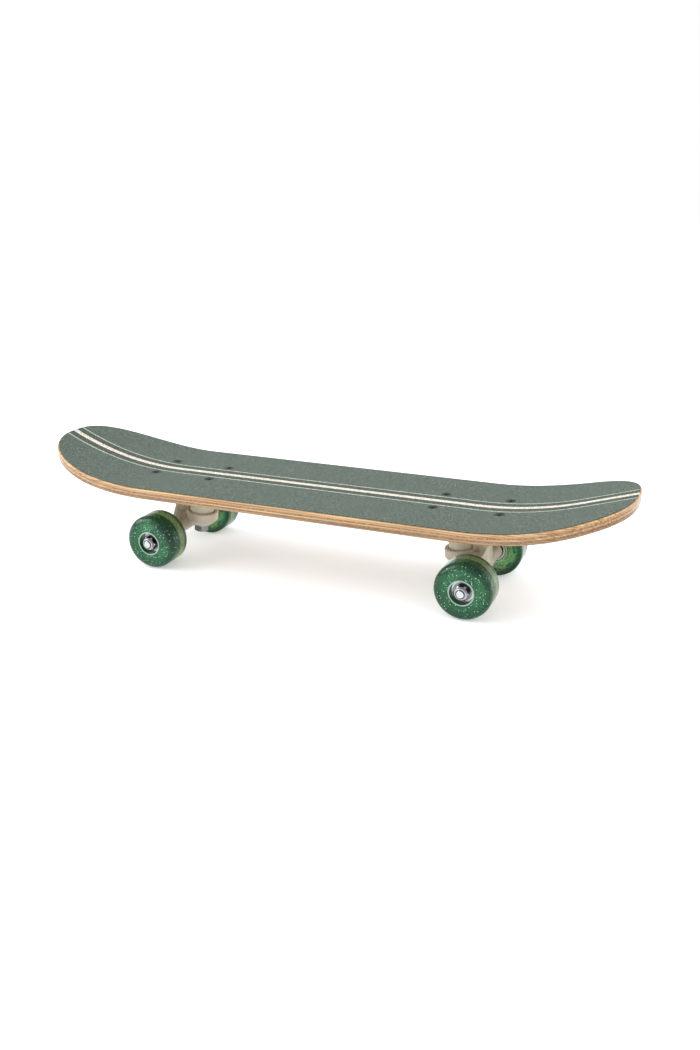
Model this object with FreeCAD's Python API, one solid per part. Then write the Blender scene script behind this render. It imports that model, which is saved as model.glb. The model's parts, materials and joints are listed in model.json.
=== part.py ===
import FreeCAD, Part
import math
import os

# A small kicktail skateboard: a seven-ply deck with a grip sheet, two cast trucks that steer
# on rubber bushings, and four cast wheels that each turn on two ball bearings.
# Millimetres. +X towards the nose, +Y towards the rider's left, +Z up.
# The origin is on the floor, under the middle of the deck.

V = FreeCAD.Vector
UP = V(0, 0, 1)
ALONG_Y = V(0, 1, 0)
NOSE = 1
TAIL = -1

# ---------------------------------------------------------------- deck
deck_length = 603.0
deck_width = 147.0
ply_count = 7
ply_thickness = 1.5
grip_thickness = 0.9
grip_inset = 1.45
rim_top_radius = 1.3
rim_bottom_radius = 2.6

# Each end: where the plan starts to round off, how square the round is, where the kick starts,
# the radius of the kick measured on the walking surface, and its final angle.
ends = {
    NOSE: {"round_start": 190.0, "squareness": 2.7,
           "kick_start": 156.5, "kick_radius": 330.0, "kick_angle": 17.2},
    TAIL: {"round_start": 198.0, "squareness": 2.5,
           "kick_start": 166.5, "kick_radius": 310.0, "kick_angle": 25.0},
}
outline_steps = 24
overhang = 30.0

# How far a cutter, or a piece that is fused to its neighbour, reaches past the face it meets.
past = 1.0

# ---------------------------------------------------------------- truck bolts
bolt_spacing_x = 63.5
bolt_spacing_y = 41.3
truck_x = 151.5
bolt_radius = 2.4
bolt_hole_radius = 2.7
bolt_head_radius = 4.8
bolt_head_height = 2.4
bolt_head_sink = 0.25
head_gap = 0.15
recess_arm_length = 5.4
recess_arm_width = 1.2
recess_depth = 1.6
lock_nut_flats = 8.0
lock_nut_height = 5.0
lock_collar_height = 1.5
lock_collar_radius = 2.9
bolt_tail = 2.0

# ---------------------------------------------------------------- wheels and bearings
wheel_radius = 27.5
wheel_width = 30.0
wheel_outer_shoulder = 7.5
wheel_inner_shoulder = 3.5
wheel_inner_face = 41.0
wheel_core_radius = 8.6
outer_recess = 5.0
inner_recess = 0.6
bearing_radius = 11.0
bearing_width = 7.0
ball_radius = 1.985
ball_pitch_radius = 7.5
ball_count = 7
race_gap = 0.06
land_height = 1.55
cage_half_width = 2.5
cage_half_height = 0.5
cage_gap = 0.06
shield_thickness = 0.3
shield_set_back = 0.25
shield_gap = 0.25

# ---------------------------------------------------------------- axle
axle_offset = 12.7
axle_height = wheel_radius
axle_radius = 4.0
axle_half_length = 74.0
axle_bevel = 0.8
axle_washer_radius = 5.3
axle_washer_thickness = 0.8
axle_nut_flats = 12.7
axle_nut_height = 4.4
axle_collar_radius = 5.5
axle_collar_height = 1.8
axle_collar_round = 0.7
nut_gap = 0.05

# ---------------------------------------------------------------- truck
plate_end_margin = 7.5
plate_side_margin = 6.5
plate_thickness = 4.5
plate_corner = 8.0
truck_height = 47.7

# The kingpin leans: its head is nearer the middle of the board than its nut.
kingpin_offset = -7.5
kingpin_lean = 7.0
kingpin_radius = 4.75
kingpin_gap = 0.1
kingpin_head_flats = 14.3
kingpin_head_height = 5.0
kingpin_head_drop = 1.2
kingpin_tail = 1.0
kingpin_nut_flats = 14.3
kingpin_nut_height = 6.0
boss_top_radius = 15.5
boss_bottom_radius = 13.6
cup_washer_radius = 13.4
road_washer_radius = 8.5
washer_thickness = 1.5

ring_radius = 17.0
ring_foot_radius = 12.6
ring_top = axle_height + 17.0
ring_bevel_top = axle_height + 7.5
ring_bottom = axle_height + 3.5
ring_bore_radius = 6.6
ring_rim_round = 1.2
web_top = axle_height + 13.5
web_bottom = axle_height + 7.5
bushing_radius = 13.0
bushing_waist = 0.5
board_bushing_top = axle_height + 29.5
road_bushing_radius = 10.2
road_bushing_bottom = axle_height + 1.4
bushing_seat_gap = 0.35
bushing_bore_gap = 0.15

# The pivot: a nose on the hanger turns in a plastic cup in the baseplate. Distances along the
# steering line are measured from the middle of the ring.
pivot_offset = 20.5
pivot_height = axle_height + 33.5
nose_radius = 4.6
nose_root_radius = 6.5
nose_root = 12.0
nose_neck = 28.0
pivot_gap = 0.08
pivot_cup_wall = 1.8
pivot_mouth = 30.0
housing_mouth = 29.5
housing_wall = 2.5
housing_end = 45.5
swing_room = 12.0

# The wall that carries the housing: shares of the housing's outer radius.
tower_clear = 4.0
tower_below_mouth = 0.9
tower_above_mouth = 0.3
tower_top = 0.7
tower_half_thickness = 0.75

# The hanger's arms: a tapered tube on the axle, a fin above it and a web to the ring.
tube_end_radius = 6.3
tube_middle_radius = 7.6
tube_middle_half = 12.0
flange_radius = 8.0
flange_thickness = 2.2
flange_taper = 1.0
fin_thickness = 4.5
fin_outer_reach = 7.0
fin_sweep = 8.0
fin_top = axle_height + 23.5
fin_top_half = 6.5
fin_foot_half = 33.0
web_half_width = 10.0
web_edge_half_width = 3.5
web_bushing_gap = 1.2

# ---------------------------------------------------------------- worked out from the above
wood_thickness = ply_count * ply_thickness
deck_bottom = axle_height + truck_height
wood_top = deck_bottom + wood_thickness
deck_top = wood_top + grip_thickness
plate_bottom = deck_bottom - plate_thickness
plate_length = bolt_spacing_x + 2 * plate_end_margin
plate_width = bolt_spacing_y + 2 * plate_side_margin
bearing_bore_radius = axle_radius
axle_x = truck_x + axle_offset
kingpin_x = truck_x + kingpin_offset
boss_bottom = board_bushing_top + washer_thickness
wheel_outer_face = wheel_inner_face + wheel_width
outer_bearing_face = wheel_outer_face - outer_recess
inner_bearing_face = wheel_inner_face + inner_recess
hanger_end = inner_bearing_face - axle_washer_thickness

# The hanger steers about the line from the middle of its ring to its pivot.
ring_centre = V(kingpin_x, 0, (web_top + web_bottom) / 2)
pivot_point = V(truck_x + pivot_offset, 0, pivot_height)
steer_axis = (pivot_point - ring_centre).normalize()
pivot_reach = (pivot_point - ring_centre).Length


# ---------------------------------------------------------------- helpers
def save(name, solids):
    """Write one node: a single solid, or identical separate solids as one group."""
    shape = solids[0] if len(solids) == 1 else Part.makeCompound(solids)
    shape.exportStep("parts/" + name + ".step")
    volume = sum(solid.Volume for solid in solids)
    print(name, len(solids), "solid(s)", round(volume / 1000.0, 3), "cm3", shape.isValid())


def cylinder(radius, low, high, x=0.0, y=0.0):
    """An upright cylinder between two heights."""
    return Part.makeCylinder(radius, high - low, V(x, y, low), UP)


def across(radius, low, high, x=axle_x, z=axle_height):
    """A cylinder along Y, by default on the axle's line."""
    return Part.makeCylinder(radius, high - low, V(x, low, z), ALONG_Y)


def hexagon(flats, low, high, x=0.0, y=0.0):
    """An upright hexagonal prism, given its width across the flats."""
    corner = flats / math.sqrt(3.0)
    points = []
    for step in range(7):
        angle = math.radians(60 * step)
        points.append(V(x + corner * math.cos(angle), y + corner * math.sin(angle), low))
    return Part.Face(Part.makePolygon(points)).extrude(V(0, 0, high - low))


def nut_blank(flats, height):
    """A hexagonal prism standing on the origin, with its upper corners turned off."""
    corner = flats / math.sqrt(3.0)
    chamfer = corner - flats / 2
    body = cylinder(corner, 0, height - chamfer)
    taper = Part.makeCone(corner, flats / 2, chamfer, V(0, 0, height - chamfer), UP)
    return hexagon(flats, 0, height).common(body.fuse(taper))


def turned(profile, centre, axis):
    """Turn a closed outline of (along, out) points about a line through centre."""
    side = ALONG_Y if abs(axis.y) < 0.5 else V(1, 0, 0)
    points = [centre + axis * along + side * out for along, out in profile]
    face = Part.Face(Part.makePolygon(points + points[:1]))
    return face.revolve(centre, axis, 360)


def on_steer_axis(distance):
    """A point on the steering line, measured from the middle of the hanger's ring."""
    return ring_centre + steer_axis * distance


def leaned(shape):
    """Lean an upright piece with the kingpin, about the middle of the ring."""
    copy = shape.copy()
    copy.rotate(ring_centre, ALONG_Y, -kingpin_lean)
    return copy


def tail_side(shape):
    """The same piece on the tail's truck."""
    copy = shape.copy()
    copy.rotate(V(0, 0, 0), UP, 180)
    return copy


def pattern_places(end):
    """The four bolt places of one truck."""
    places = []
    for step_x in (-1, 1):
        for step_y in (-1, 1):
            x = end * truck_x + step_x * bolt_spacing_x / 2
            places.append((x, step_y * bolt_spacing_y / 2))
    return places


# ---------------------------------------------------------------- deck
def end_points(end, inset):
    """Round off one end of the plan with a superellipse, from side to side."""
    shape = ends[end]
    reach = deck_length / 2 - shape["round_start"] - inset
    half = deck_width / 2 - inset
    power = shape["squareness"]
    points = []
    for step in range(outline_steps + 1):
        angle = math.pi / 2 - math.pi * step / outline_steps
        run = abs(math.cos(angle)) / reach
        rise = abs(math.sin(angle)) / half
        length = (run ** power + rise ** power) ** (-1.0 / power)
        x = shape["round_start"] + length * math.cos(angle)
        points.append(V(end * x, end * length * math.sin(angle), 0))
    return points


def end_curve(end, inset):
    """One end of the plan as a smooth curve that leaves both sides straight."""
    curve = Part.BSplineCurve()
    curve.interpolate(Points=end_points(end, inset),
                      InitialTangent=V(end, 0, 0), FinalTangent=V(-end, 0, 0))
    return curve.toShape()


def plan_prism(inset):
    """The deck's plan, drawn in by inset and made tall enough to cut any layer."""
    nose = end_curve(NOSE, inset)
    tail = end_curve(TAIL, inset)
    half = deck_width / 2 - inset
    front = ends[NOSE]["round_start"]
    back = -ends[TAIL]["round_start"]
    left = Part.makeLine(V(back, half, 0), V(front, half, 0))
    right = Part.makeLine(V(front, -half, 0), V(back, -half, 0))
    outline = Part.Wire([left, nose, right, tail])
    return Part.Face(outline).extrude(V(0, 0, deck_top + deck_width))


def surface_rise(x):
    """How far the kick has lifted the walking surface at x."""
    shape = ends[NOSE if x > 0 else TAIL]
    run = max(0.0, abs(x) - shape["kick_start"])
    return shape["kick_radius"] - math.sqrt(shape["kick_radius"] ** 2 - run ** 2)


def kick_edges(end, depth):
    """One end of a layer's side profile: the arc of the kick and the straight tip."""
    shape = ends[end]
    start = shape["kick_start"]
    angle = math.radians(shape["kick_angle"])
    centre = V(end * start, 0, deck_top + shape["kick_radius"])
    radius = shape["kick_radius"] + depth

    def on_arc(turn):
        return centre + V(end * radius * math.sin(turn), 0, -radius * math.cos(turn))

    arc = Part.Arc(on_arc(0), on_arc(angle / 2), on_arc(angle)).toShape()
    straight = max(0.0, deck_length / 2 - start - radius * math.sin(angle)) + overhang
    tip = on_arc(angle) + V(end * math.cos(angle), 0, math.sin(angle)) * straight
    return arc, Part.makeLine(on_arc(angle), tip), on_arc(0), tip


def layer(upper, lower):
    """A slab of the deck between two depths below the walking surface, wider than the deck."""
    edges = []
    tips = []
    for depth in (upper, lower):
        nose_arc, nose_line, nose_start, nose_tip = kick_edges(NOSE, depth)
        tail_arc, tail_line, tail_start, tail_tip = kick_edges(TAIL, depth)
        edges += [nose_line, nose_arc, Part.makeLine(tail_start, nose_start), tail_arc, tail_line]
        tips.append((nose_tip, tail_tip))
    edges.append(Part.makeLine(tips[0][0], tips[1][0]))
    edges.append(Part.makeLine(tips[0][1], tips[1][1]))
    outline = Part.Wire(Part.__sortEdges__(edges))
    slab = Part.Face(outline).extrude(V(0, 2 * deck_width, 0))
    slab.translate(V(0, -deck_width, 0))
    return slab


def rim_edges(blank, depth):
    """The edges of the blank that lie on one face, found by their depth at the flat middle."""
    target = deck_top - depth
    found = []
    for edge in blank.Edges:
        middle = edge.valueAt((edge.FirstParameter + edge.LastParameter) / 2)
        along = edge.BoundBox.XLength > edge.BoundBox.YLength
        if along and abs(middle.z - target) < 0.01 and abs(middle.x) < ends[NOSE]["kick_start"]:
            found.append(edge)
    return found


def deck_blank():
    """The pressed blank, cut to its plan, with both rims rounded."""
    blank = layer(grip_thickness, grip_thickness + wood_thickness).common(plan_prism(0.0))
    blank = blank.Solids[0]
    bottom = rim_edges(blank, grip_thickness + wood_thickness)
    blank = blank.makeFillet(rim_bottom_radius, bottom)
    top = rim_edges(blank, grip_thickness)
    return blank.makeFillet(rim_top_radius, top)


def bolt_clearance():
    """What the eight truck bolts remove from the deck: a hole and a seat for the head."""
    cutters = []
    for end in (NOSE, TAIL):
        for x, y in pattern_places(end):
            top = deck_top + surface_rise(x) - bolt_head_sink
            hole = cylinder(bolt_hole_radius, deck_bottom - past, top, x, y)
            seat = Part.makeCone(bolt_radius + head_gap, bolt_head_radius + head_gap,
                                 bolt_head_height, V(x, y, top - bolt_head_height), UP)
            mouth = cylinder(bolt_head_radius + head_gap, top, top + bolt_head_height, x, y)
            cutters.append(hole.fuse([seat, mouth]))
    return Part.makeCompound(cutters)


def make_deck():
    """Seven plies pressed together, counted from the top, and the grip sheet on them."""
    holes = bolt_clearance()
    blank = deck_blank().cut(holes)
    for number in range(1, ply_count + 1):
        upper = grip_thickness + (number - 1) * ply_thickness
        lower = upper + ply_thickness
        if number == 1:
            upper -= grip_thickness / 2
        if number == ply_count:
            lower += grip_thickness / 2
        save("ply_%d" % number, blank.common(layer(upper, lower)).Solids)
    grip = layer(0.0, grip_thickness).common(plan_prism(grip_inset))
    save("grip_sheet", grip.cut(holes).Solids)


# ---------------------------------------------------------------- fasteners through the deck
def truck_bolt(x, y):
    """A countersunk bolt with a cross recess, from the grip down past its nut.

    All eight are the same length; those under a kick sit a little higher.
    """
    top = deck_top + surface_rise(x) - bolt_head_sink
    bottom = top - (deck_top - bolt_head_sink - plate_bottom + lock_nut_height + bolt_tail)
    head = Part.makeCone(bolt_radius, bolt_head_radius, bolt_head_height,
                         V(x, y, top - bolt_head_height), UP)
    bolt = head.fuse(cylinder(bolt_radius, bottom, top - bolt_head_height / 2, x, y))
    for length, width in ((recess_arm_length, recess_arm_width),
                          (recess_arm_width, recess_arm_length)):
        corner = V(x - length / 2, y - width / 2, top - recess_depth)
        bolt = bolt.cut(Part.makeBox(length, width, recess_depth + past, corner))
    return bolt


def lock_nut(x, y):
    """A hexagonal nut under the baseplate with a domed collar."""
    bottom = plate_bottom - lock_nut_height
    nut = hexagon(lock_nut_flats, bottom + lock_collar_height, plate_bottom, x, y)
    collar = Part.makeCone(lock_collar_radius, lock_nut_flats / 2, lock_collar_height,
                           V(x, y, bottom), UP)
    bore = cylinder(bolt_radius + nut_gap, bottom - past, plate_bottom + past, x, y)
    return nut.fuse(collar).cut(bore)


def make_deck_fasteners(name, end):
    save(name + "_truck_bolts", [truck_bolt(x, y) for x, y in pattern_places(end)])
    save(name + "_lock_nuts", [lock_nut(x, y) for x, y in pattern_places(end)])


# ---------------------------------------------------------------- truck, nose side
def baseplate():
    """The cast plate under the deck, with the kingpin's boss and the pivot's housing."""
    plate = Part.makeBox(plate_length, plate_width, plate_thickness,
                         V(truck_x - plate_length / 2, -plate_width / 2, plate_bottom))
    corners = [edge for edge in plate.Edges if edge.BoundBox.ZLength > plate_thickness / 2]
    plate = plate.makeFillet(plate_corner, corners)

    boss = leaned(Part.makeCone(boss_bottom_radius, boss_top_radius, deck_bottom - boss_bottom,
                                V(kingpin_x, 0, boss_bottom), UP))
    cup_radius = nose_radius + pivot_gap + pivot_cup_wall
    housing = Part.makeCylinder(cup_radius + housing_wall, housing_end - housing_mouth,
                                on_steer_axis(housing_mouth), steer_axis)
    plate = plate.fuse([boss, pivot_tower(cup_radius + housing_wall), housing])

    pocket = Part.makeCylinder(cup_radius, pivot_reach + cup_radius - housing_mouth + past,
                               on_steer_axis(housing_mouth - past), steer_axis)
    above_plate = deck_bottom + plate_thickness
    bore = leaned(cylinder(kingpin_radius + kingpin_gap, boss_bottom - plate_thickness,
                           above_plate, kingpin_x))
    seat = deck_bottom - kingpin_head_drop - kingpin_head_height
    head = leaned(hexagon(kingpin_head_flats + 2 * kingpin_gap, seat, above_plate, kingpin_x))
    holes = [cylinder(bolt_hole_radius, plate_bottom - past, deck_bottom + past, x, y)
             for x, y in pattern_places(NOSE)]
    above = Part.makeBox(2 * plate_length, 2 * plate_width, plate_width,
                         V(truck_x - plate_length, -plate_width, deck_bottom))
    return plate.cut([pocket, bore, head, above] + holes)


def pivot_tower(radius):
    """The wall that carries the pivot's housing down from the plate, with a rib to the boss."""
    down = V(steer_axis.z, 0, -steer_axis.x)
    mouth = on_steer_axis(housing_mouth)
    end = on_steer_axis(housing_end)
    points = [V(kingpin_x, 0, plate_bottom + past),
              V(kingpin_x, 0, boss_bottom + tower_clear),
              V(kingpin_x + boss_bottom_radius, 0, boss_bottom + tower_clear),
              mouth - down * radius * tower_below_mouth,
              mouth + down * radius * tower_above_mouth,
              end + down * radius * tower_top,
              V(end.x + radius * tower_top, 0, plate_bottom + past)]
    half = radius * tower_half_thickness
    return slab(points, ALONG_Y, -half, half)


def pivot_cup():
    """The plastic cup in the baseplate that the hanger's nose turns in."""
    inner = nose_radius + pivot_gap
    outer = inner + pivot_cup_wall
    cup = Part.makeCylinder(outer, pivot_reach + outer - pivot_mouth,
                            on_steer_axis(pivot_mouth), steer_axis)
    hollow = Part.makeCylinder(inner, pivot_reach - pivot_mouth + past,
                               on_steer_axis(pivot_mouth - past), steer_axis)
    return cup.cut(hollow.fuse(Part.makeSphere(inner, pivot_point)))


def kingpin():
    """The bolt that clamps the bushings, with its hexagonal head in the baseplate."""
    nut_bottom = road_bushing_bottom - washer_thickness - kingpin_nut_height
    top = deck_bottom - kingpin_head_drop
    shank = cylinder(kingpin_radius, nut_bottom - kingpin_tail, top - past, kingpin_x)
    head = hexagon(kingpin_head_flats, top - kingpin_head_height, top, kingpin_x)
    return leaned(head.fuse(shank))


def kingpin_nut():
    """The nut on the road side, with its lower corners turned off."""
    top = road_bushing_bottom - washer_thickness
    nut = nut_blank(kingpin_nut_flats, kingpin_nut_height)
    nut.rotate(V(0, 0, 0), V(1, 0, 0), 180)
    nut.translate(V(kingpin_x, 0, top))
    return leaned(nut.cut(cylinder(kingpin_radius + nut_gap, 0, top + past, kingpin_x)))


def flat_washer(radius, low):
    """A washer on the kingpin."""
    disc = cylinder(radius, low, low + washer_thickness, kingpin_x)
    return leaned(disc.cut(cylinder(kingpin_radius + kingpin_gap, 0, deck_bottom, kingpin_x)))


def bushing(radius, low, high, waist):
    """A cushion round the kingpin, drawn in a little at its middle."""
    inner = kingpin_radius + bushing_bore_gap
    middle = (low + high) / 2
    profile = [(low, inner), (low, radius), (middle, radius - waist), (high, radius), (high, inner)]
    return leaned(turned(profile, V(kingpin_x, 0, 0), UP))


def slab(points, normal, low, high):
    """A flat piece with the given outline, between two distances along its normal."""
    face = Part.Face(Part.makePolygon(points + points[:1]))
    piece = face.extrude(normal * (high - low))
    piece.translate(normal * low)
    return piece


def hanger_ring():
    """The ring that the bushings squeeze, bevelled towards the road."""
    upper = cylinder(ring_radius, ring_bevel_top, ring_top, kingpin_x)
    rims = [edge for edge in upper.Edges
            if edge.BoundBox.ZLength < 0.1 and edge.BoundBox.ZMin > ring_top - 0.1]
    upper = upper.makeFillet(ring_rim_round, rims)
    lower = Part.makeCone(ring_foot_radius, ring_radius, ring_bevel_top - ring_bottom,
                          V(kingpin_x, 0, ring_bottom), UP)
    return leaned(upper.fuse(lower))


def hanger_web():
    """The wall between the ring, the tube and the nose, a wedge above the ring's top."""
    neck = on_steer_axis(nose_neck)
    up = V(-steer_axis.z, 0, steer_axis.x)
    shoulder = neck + up * nose_root_radius
    front = kingpin_x + bushing_radius + web_bushing_gap
    back = axle_x + fin_outer_reach
    side = [V(kingpin_x, 0, ring_bottom + past), V(kingpin_x, 0, ring_top - ring_rim_round),
            V(front, 0, ring_top - ring_rim_round), V(front, 0, shoulder.z - nose_root_radius),
            shoulder, neck - up * nose_root_radius, V(back, 0, axle_height + flange_radius),
            V(axle_x, 0, axle_height)]
    wall = slab(side, ALONG_Y, -web_half_width, web_half_width)
    inner = back - fin_thickness
    plan = [V(front, -web_edge_half_width, 0), V(inner, -web_half_width, 0),
            V(back, -web_half_width, 0), V(back, web_half_width, 0),
            V(inner, web_half_width, 0), V(front, web_edge_half_width, 0)]
    wedge = slab(plan, UP, ring_top - ring_rim_round, deck_bottom)
    block = Part.makeBox(back - kingpin_x, 2 * web_half_width, ring_top - ring_rim_round,
                         V(kingpin_x, -web_half_width, 0))
    return wall.common(wedge.fuse(block))


def fin_section(y, top):
    """One upright section of the fin; its outer face draws in towards the wheels."""
    share = (abs(y) - fin_top_half) / (fin_foot_half - fin_top_half)
    outer = axle_x + fin_outer_reach - fin_sweep * share
    points = [V(outer, y, axle_height), V(outer, y, top),
              V(outer - fin_thickness, y, top), V(outer - fin_thickness, y, axle_height)]
    return Part.makePolygon(points + points[:1])


def hanger_fin():
    """The three-cornered wall that braces the axle's tube against the nose."""
    foot = axle_height + tube_end_radius - past
    sections = [fin_section(-fin_foot_half, foot), fin_section(-fin_top_half, fin_top),
                fin_section(fin_top_half, fin_top), fin_section(fin_foot_half, foot)]
    return Part.makeLoft(sections, True, True)


def hanger_tube():
    """The tube round the axle: thickest in the middle, with a flange by each wheel."""
    neck = hanger_end - flange_thickness
    half = [(tube_middle_half, tube_middle_radius), (neck - flange_taper, tube_end_radius),
            (neck, flange_radius), (hanger_end, flange_radius)]
    mirrored = [(-along, out) for along, out in reversed(half)]
    profile = [(-hanger_end, 0)] + mirrored + half + [(hanger_end, 0)]
    return turned(profile, V(axle_x, 0, axle_height), ALONG_Y)


def hanger_nose():
    """The round nose on the steering line."""
    profile = [(nose_root, 0), (nose_root, nose_root_radius), (nose_neck, nose_root_radius),
               (pivot_mouth, nose_radius), (pivot_reach, nose_radius), (pivot_reach, 0)]
    nose = turned(profile, ring_centre, steer_axis)
    return nose.fuse(Part.makeSphere(nose_radius, pivot_point))


def hanger():
    """The cast hanger: ring, web, fin, tube and nose in one piece."""
    room = Part.makeCylinder(swing_room, housing_end, on_steer_axis(nose_neck), steer_axis)
    web = hanger_web().cut(room)
    body = hanger_tube().fuse([hanger_ring(), web, hanger_fin(), hanger_nose()])
    board_seat = cylinder(bushing_radius + bushing_seat_gap, web_top, deck_bottom, kingpin_x)
    road_seat = cylinder(road_bushing_radius + bushing_seat_gap, 0, web_bottom, kingpin_x)
    bore = cylinder(ring_bore_radius, 0, deck_bottom, kingpin_x)
    seats = [leaned(cutter) for cutter in (board_seat, road_seat, bore)]
    shaft = across(axle_radius, -hanger_end - past, hanger_end + past)
    return body.cut(seats + [shaft]).removeSplitter()


def axle():
    """The steel axle, with a small bevel on each end."""
    tip = axle_half_length
    neck = tip - axle_bevel
    thin = axle_radius - axle_bevel
    profile = [(-tip, 0), (-tip, thin), (-neck, axle_radius), (neck, axle_radius),
               (tip, thin), (tip, 0)]
    return turned(profile, V(axle_x, 0, axle_height), ALONG_Y)


def axle_nut(side):
    """One axle nut, outside the outer bearing, with the round collar that locks it."""
    low = outer_bearing_face + axle_washer_thickness
    height = axle_nut_height + axle_collar_height
    collar = cylinder(axle_collar_radius, 0, height)
    rim = [edge for edge in collar.Edges
           if edge.BoundBox.ZLength < past and edge.BoundBox.ZMin > axle_nut_height]
    collar = collar.makeFillet(axle_collar_round, rim)
    nut = nut_blank(axle_nut_flats, axle_nut_height).fuse(collar)
    nut = nut.cut(cylinder(axle_radius + nut_gap, -past, height + past))
    nut.rotate(V(0, 0, 0), V(1, 0, 0), -90 * side)
    nut.translate(V(axle_x, side * low, axle_height))
    return nut


def tube_at(inner, outer, low, high, side):
    """A plain tube on the axle's line, between two distances from the middle of the truck."""
    start = low if side > 0 else -high
    tube = across(outer, start, start + high - low)
    return tube.cut(across(inner, start - past, start + high - low + past))


def axle_washers():
    washers = []
    for side in (-1, 1):
        for low in (inner_bearing_face - axle_washer_thickness, outer_bearing_face):
            washers.append(tube_at(axle_radius + nut_gap, axle_washer_radius, low,
                                   low + axle_washer_thickness, side))
    return washers


def bearing_places():
    """How far out each of a wheel's two bearings starts."""
    return (inner_bearing_face, outer_bearing_face - bearing_width)


def race_groove(low, side):
    """The ring-shaped groove that a bearing's balls run in."""
    middle = side * (low + bearing_width / 2)
    return Part.makeTorus(ball_pitch_radius, ball_radius + race_gap,
                          V(axle_x, middle, axle_height), ALONG_Y)


def inner_rings():
    """The bearings' inner rings, clamped on the axle."""
    rings = []
    outer = ball_pitch_radius - land_height
    for side in (-1, 1):
        for low in bearing_places():
            ring = tube_at(bearing_bore_radius, outer, low, low + bearing_width, side)
            rings.append(ring.cut(race_groove(low, side)))
    return rings


# ---------------------------------------------------------------- one wheel
def wheel(side):
    """The cast wheel, bored from both faces for its bearings."""
    inner = wheel_inner_face
    outer = wheel_outer_face
    body = tube_at(wheel_core_radius, wheel_radius, inner, outer, side)
    for face, shoulder in ((outer, wheel_outer_shoulder), (inner, wheel_inner_shoulder)):
        rim = [edge for edge in body.Edges
               if edge.BoundBox.ZLength > 2 * wheel_radius - past
               and edge.BoundBox.YLength < 0.1 and abs(edge.BoundBox.YMin - side * face) < 0.1]
        body = body.makeFillet(shoulder, rim)
    for low, high in ((inner - past, inner_bearing_face + bearing_width),
                      (outer_bearing_face - bearing_width, outer + past)):
        start = low if side > 0 else -high
        body = body.cut(across(bearing_radius, start, start + high - low))
    return body


def outer_rings(side):
    """The bearings' outer rings, pressed into the wheel."""
    rings = []
    inner = ball_pitch_radius + land_height
    for low in bearing_places():
        ring = tube_at(inner, bearing_radius, low, low + bearing_width, side)
        rings.append(ring.cut(race_groove(low, side)))
    return rings


def shields(side):
    """The thin plates that close both faces of each bearing."""
    plates = []
    inner = ball_pitch_radius - land_height + shield_gap
    outer = ball_pitch_radius + land_height
    for low in bearing_places():
        for start in (low + shield_set_back,
                      low + bearing_width - shield_set_back - shield_thickness):
            plates.append(tube_at(inner, outer, start, start + shield_thickness, side))
    return plates


def ball_centres(low, side):
    """Where the balls of one bearing sit."""
    centres = []
    for step in range(ball_count):
        angle = 2 * math.pi * step / ball_count
        centres.append(V(axle_x + ball_pitch_radius * math.cos(angle),
                         side * (low + bearing_width / 2),
                         axle_height + ball_pitch_radius * math.sin(angle)))
    return centres


def balls(side):
    solids = []
    for low in bearing_places():
        solids += [Part.makeSphere(ball_radius, centre) for centre in ball_centres(low, side)]
    return solids


def cages(side):
    """The ring that keeps each bearing's balls apart, drilled through for each ball."""
    rings = []
    for low in bearing_places():
        middle = low + bearing_width / 2
        ring = tube_at(ball_pitch_radius - cage_half_height, ball_pitch_radius + cage_half_height,
                       middle - cage_half_width, middle + cage_half_width, side)
        hub = V(axle_x, side * middle, axle_height)
        pockets = [Part.makeCylinder(ball_radius + cage_gap, 2 * ball_pitch_radius, hub,
                                     centre - hub)
                   for centre in ball_centres(low, side)]
        rings.append(ring.cut(pockets))
    return rings


# ---------------------------------------------------------------- whole trucks
def truck_pieces():
    """Every piece of the nose's truck and its wheels, as lists of solids by name."""
    pieces = {
        "baseplate": [baseplate()],
        "pivot_cup": [pivot_cup()],
        "kingpin": [kingpin()],
        "kingpin_nut": [kingpin_nut()],
        "board_side_washer": [flat_washer(cup_washer_radius, board_bushing_top)],
        "road_side_washer": [flat_washer(road_washer_radius,
                                         road_bushing_bottom - washer_thickness)],
        "board_side_bushing": [bushing(bushing_radius, web_top, board_bushing_top,
                                       bushing_waist)],
        "road_side_bushing": [bushing(road_bushing_radius, road_bushing_bottom, web_bottom, 0.0)],
        "hanger": [hanger()],
        "axle": [axle()],
        "axle_nuts": [axle_nut(-1), axle_nut(1)],
        "axle_washers": axle_washers(),
        "bearing_inner_rings": inner_rings(),
    }
    for word, side in (("left", 1), ("right", -1)):
        pieces[word + "_wheel"] = [wheel(side)]
        pieces[word + "_bearing_outer_rings"] = outer_rings(side)
        pieces[word + "_bearing_shields"] = shields(side)
        pieces[word + "_bearing_balls"] = balls(side)
        pieces[word + "_ball_cages"] = cages(side)
    return pieces


def make_trucks():
    pieces = truck_pieces()
    swap = {"left": "right", "right": "left"}
    for name, solids in pieces.items():
        save("front_" + name, solids)
        side, dash, rest = name.partition("_")
        turned_name = swap[side] + dash + rest if side in swap else name
        save("rear_" + turned_name, [tail_side(solid) for solid in solids])


os.makedirs("parts", exist_ok=True)
make_deck()
make_deck_fasteners("front", NOSE)
make_deck_fasteners("rear", TAIL)
make_trucks()
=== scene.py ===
# %% [markdown]
# # A small kicktail skateboard, dressed in Blender
# The engineering model fixes every shape and joint: a pressed maple deck, two cast steering trucks
# and four cast wheels on ball bearings. This lesson gives each piece the surface of the real thing.
# Pieces whose shape is already right keep it and get a finish. The castings, the wheels and the
# steering cushions are made again here, because their real shapes are softer than drawn solids.

# %% Load the engineering model
import json
import math
import random

import bmesh
import bpy
from mathutils import Matrix, Vector


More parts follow.
